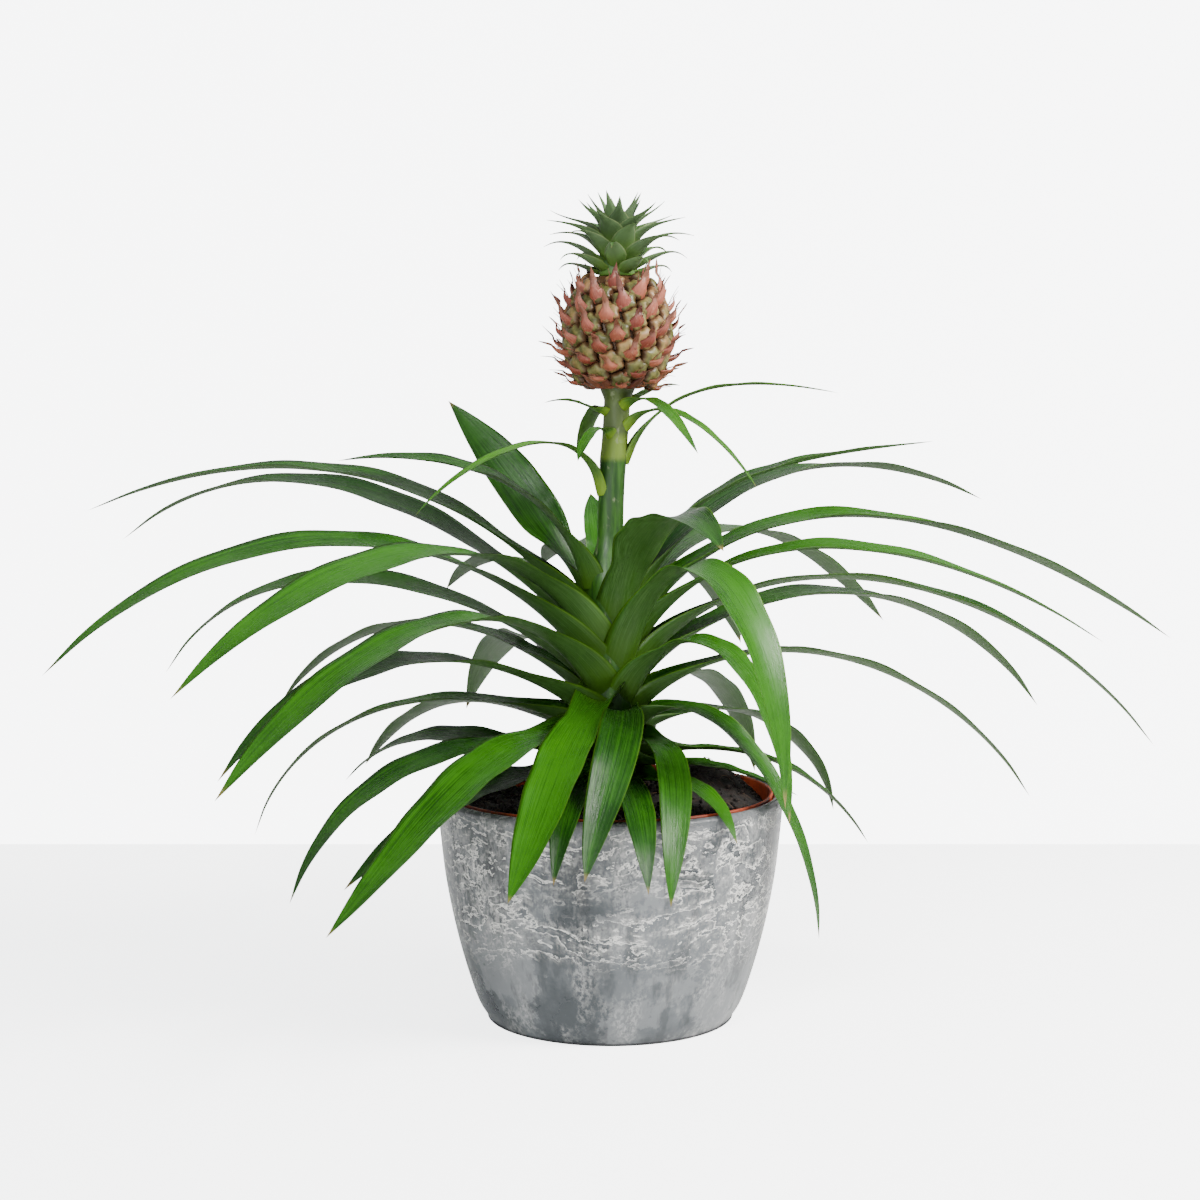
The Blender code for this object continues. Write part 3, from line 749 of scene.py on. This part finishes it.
def makeCrown():
    core = bmesh.new()

    def position(a, v):
        share = min(max((v - 0.1) / 0.8, 0.0), 1.0)
        radius = crownShape["core"] * (1 - 0.5 * share) * (min(v, 1 - v) / 0.1 if v < 0.1 or v > 0.9 else 1)
        angle = 2 * math.pi * a
        height = crownFoot + crownShape["coreHeight"] * share
        return Vector((fruitLean + radius * math.cos(angle), radius * math.sin(angle), height)), a, 1.0
    addGrid(core, 32, 20, position)
    skin = crownSkin()
    makePiece("crownCore", core, [skin], ["crown"])
    leaves = bmesh.new()
    for index in range(crownShape["leaves"]):
        share = (index + 0.5) / crownShape["leaves"]
        angle = index * goldenAngle + 0.4
        a, b, c, d = crownPath(share, angle)
        width = rng.uniform(6.0, 7.2) * mm * blend(0.85, 1.0, share / 0.4)
        side = Vector((-math.sin(angle), math.cos(angle), 0))

        def section(v, a=a, b=b, c=c, d=d, width=width, side=side):
            w = 1 - v
            point = a * w ** 3 + b * 3 * w * w * v + c * 3 * w * v * v + d * v ** 3
            ahead = ((b - a) * w * w + (c - b) * 2 * w * v + (d - c) * v * v).normalized()
            across = (side - ahead * ahead.dot(side)).normalized()
            taper = (1 - blend(0, 0.72, (v - 0.12) / 0.6)) * (1 - max((v - 0.6) / 0.4, 0.0) ** 1.6) * blend(0.8, 1, v / 0.2)
            normal = ahead.cross(across).normalized()
            return point, across * max(width * taper, 0.01 * mm), normal * max(width * taper * 0.42, 0.01 * mm), \
                0.4 * mm * (1 - 0.7 * v)
        addBlade(leaves, section, 30, 16, rng.random())
    makePiece("crownLeaves", leaves, [skin])


# Stage: white floor and wall, soft daylight from the right, and the camera.
def stagePaint(name, grey, glow):
    # The glow shows to the camera alone, so that it lays no glare on the leaves.
    paint = Skin(name, Roughness=0.9, Base_Color=(grey, grey, grey, 1.0), Emission_Strength=glow)
    seen = paint.add("ShaderNodeLightPath", output="Is Camera Ray")
    paint.feed(paint.shader.inputs["Emission Color"], paint.mix(seen, (0, 0, 0), (0.98, 0.99, 1.0)))
    return paint


def makeStage():
    ground = stagePaint("stagePaint", 0.8, 3.6)
    floor = bmesh.new()
    bmesh.ops.create_grid(floor, x_segments=1, y_segments=1, size=4.0)
    wall = bmesh.new()
    bmesh.ops.create_grid(wall, x_segments=1, y_segments=1, size=4.0)
    bmesh.ops.rotate(wall, verts=wall.verts, cent=(0, 0, 0), matrix=Matrix.Rotation(math.radians(90), 3, "X"))
    bmesh.ops.translate(wall, verts=wall.verts, vec=(0, 0.44, 0))
    screen = stagePaint("stageScreen", 0.2, 7.0)
    clear = screen.add("ShaderNodeBsdfTransparent")
    behind = screen.add("ShaderNodeNewGeometry", output="Backfacing")
    body = Wire(screen, screen.shader.outputs[0])
    both = screen.add("ShaderNodeMixShader", {0: behind, 1: body, 2: clear})
    screen.tree.links.new(both.socket, screen.tree.nodes["Material Output"].inputs["Surface"])
    for name, bm, paint in (("stageFloor", floor, ground.material), ("stageWall", wall, screen.material)):
        mesh = bpy.data.meshes.new(name)
        bm.to_mesh(mesh)
        bm.free()
        mesh.materials.append(paint)
        obj = bpy.data.objects.new(name, mesh)
        bpy.context.scene.collection.objects.link(obj)


def addLight(name, place, target, size, watts, color):
    light = bpy.data.lights.new(name, "AREA")
    light.shape = "SQUARE"
    light.size = size
    light.energy = watts
    light.color = color
    obj = bpy.data.objects.new(name, light)
    bpy.context.scene.collection.objects.link(obj)
    obj.location = place
    obj.rotation_euler = (Vector(target) - Vector(place)).to_track_quat("-Z", "Y").to_euler()


def makeLight():
    world = bpy.data.worlds.new("daylight")
    bpy.context.scene.world = world
    world.use_nodes = True
    world.node_tree.nodes["Background"].inputs["Color"].default_value = (0.93, 0.96, 1.0, 1.0)
    world.node_tree.nodes["Background"].inputs["Strength"].default_value = 1.05
    addLight("window", (1.1, -0.55, 1.15), (0, 0, 0.2), 0.6, 75, (1.0, 0.98, 0.95))
    addLight("front", (-0.7, -1.6, 1.0), (0, 0, 0.2), 0.5, 30, (0.97, 0.99, 1.0))


def makeCamera():
    camera = bpy.data.cameras.new("camera")
    camera.sensor_width = 36
    camera.lens = 66.9
    obj = bpy.data.objects.new("camera", camera)
    bpy.context.scene.collection.objects.link(obj)
    obj.location = (-0.0053, -1.15, 0.322)
    obj.rotation_euler = (math.radians(90 - 5.2), 0, 0)
    bpy.context.scene.camera = obj


for stage in (makeCamera, makeStage, makeLight, makeOuterPot, makeNurseryPot, makeSoil, makeStem, makeLeaves,
              makeBracts, makeFruit, makeCrown):
    stage()
    print("done", stage.__name__)
